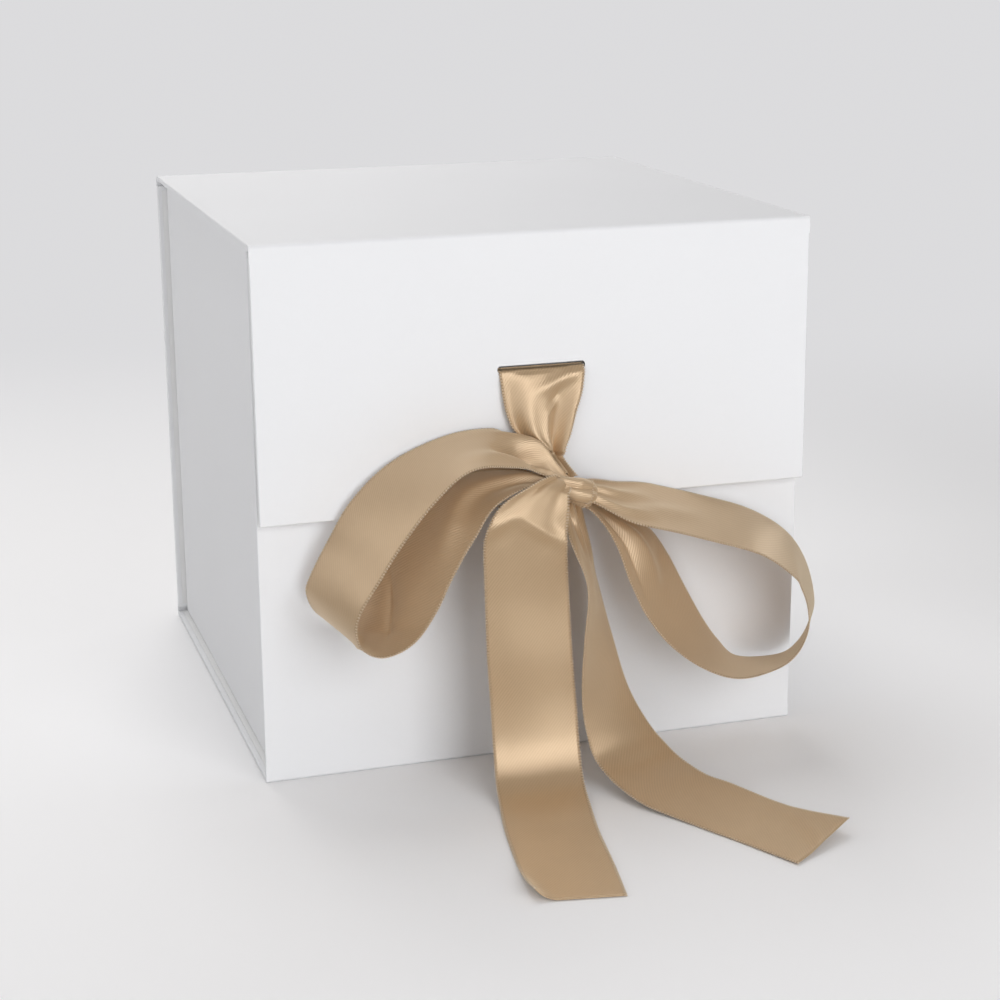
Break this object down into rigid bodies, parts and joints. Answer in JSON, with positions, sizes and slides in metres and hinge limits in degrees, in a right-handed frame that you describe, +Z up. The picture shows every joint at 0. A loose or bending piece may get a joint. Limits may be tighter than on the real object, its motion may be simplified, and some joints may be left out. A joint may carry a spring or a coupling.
{
  "type": "magnetic_gift_box",
  "caption": "White rigid gift box with a hinged lid, a magnetic front flap and a champagne satin ribbon bow through the flap's slot",
  "frame": {"origin": "middle of the base's underside", "axes": "+Z up, the front with the flap faces -Y, +X to the right seen from the front"},
  "size_m": [0.2369, 0.3588, 0.2185],
  "materials": {
    "outer_paper": "matt white laminated paper",
    "liner_paper": "matt white uncoated paper",
    "greyboard": "raw grey pressed board",
    "plated_steel": "bright nickel plate",
    "champagne_satin": "satin weave with fine ribbed edges"
  },
  "bodies": {
    "case": {"base_wrap": "outer_paper", "base_board": "greyboard", "base_liner": "liner_paper", "back_wrap": "outer_paper", "back_board": "greyboard", "back_liner": "liner_paper", "front_wrap": "outer_paper", "front_board": "greyboard", "front_liner": "liner_paper", "left_side_wrap": "outer_paper", "left_side_board": "greyboard", "left_side_liner": "liner_paper", "right_side_wrap": "outer_paper", "right_side_board": "greyboard", "right_side_liner": "liner_paper", "front_base_crease": "outer_paper", "rear_base_crease": "outer_paper", "lid_crease": "outer_paper", "left_front_tab": "outer_paper", "left_rear_tab": "outer_paper", "right_front_tab": "outer_paper", "right_rear_tab": "outer_paper", "left_steel_disc": "plated_steel", "right_steel_disc": "plated_steel"},
    "lid": {"lid_wrap": "outer_paper", "lid_board": "greyboard", "lid_liner": "liner_paper"},
    "flap": {"flap_wrap": "outer_paper", "flap_board": "greyboard", "flap_liner": "liner_paper", "flap_crease": "outer_paper", "left_magnet": "plated_steel", "right_magnet": "plated_steel", "ribbon_back_strand": "champagne_satin", "ribbon_slot_strand": "champagne_satin", "bow_knot": "champagne_satin", "bow_left_loop": "champagne_satin", "bow_right_loop": "champagne_satin", "left_tail": "champagne_satin", "right_tail": "champagne_satin"}
  },
  "joints": [
    {"name": "lid_hinge", "type": "hinge", "parent": "case", "child": "lid", "pos_m": [0, 0.11, 0.2185], "axis": [-1, 0, 0], "range_deg": [0, 180]},
    {"name": "flap_hinge", "type": "hinge", "parent": "lid", "child": "flap", "pos_m": [0, -0.1146, 0.2185], "axis": [-1, 0, 0], "range_deg": [0, 180]}
  ]
}
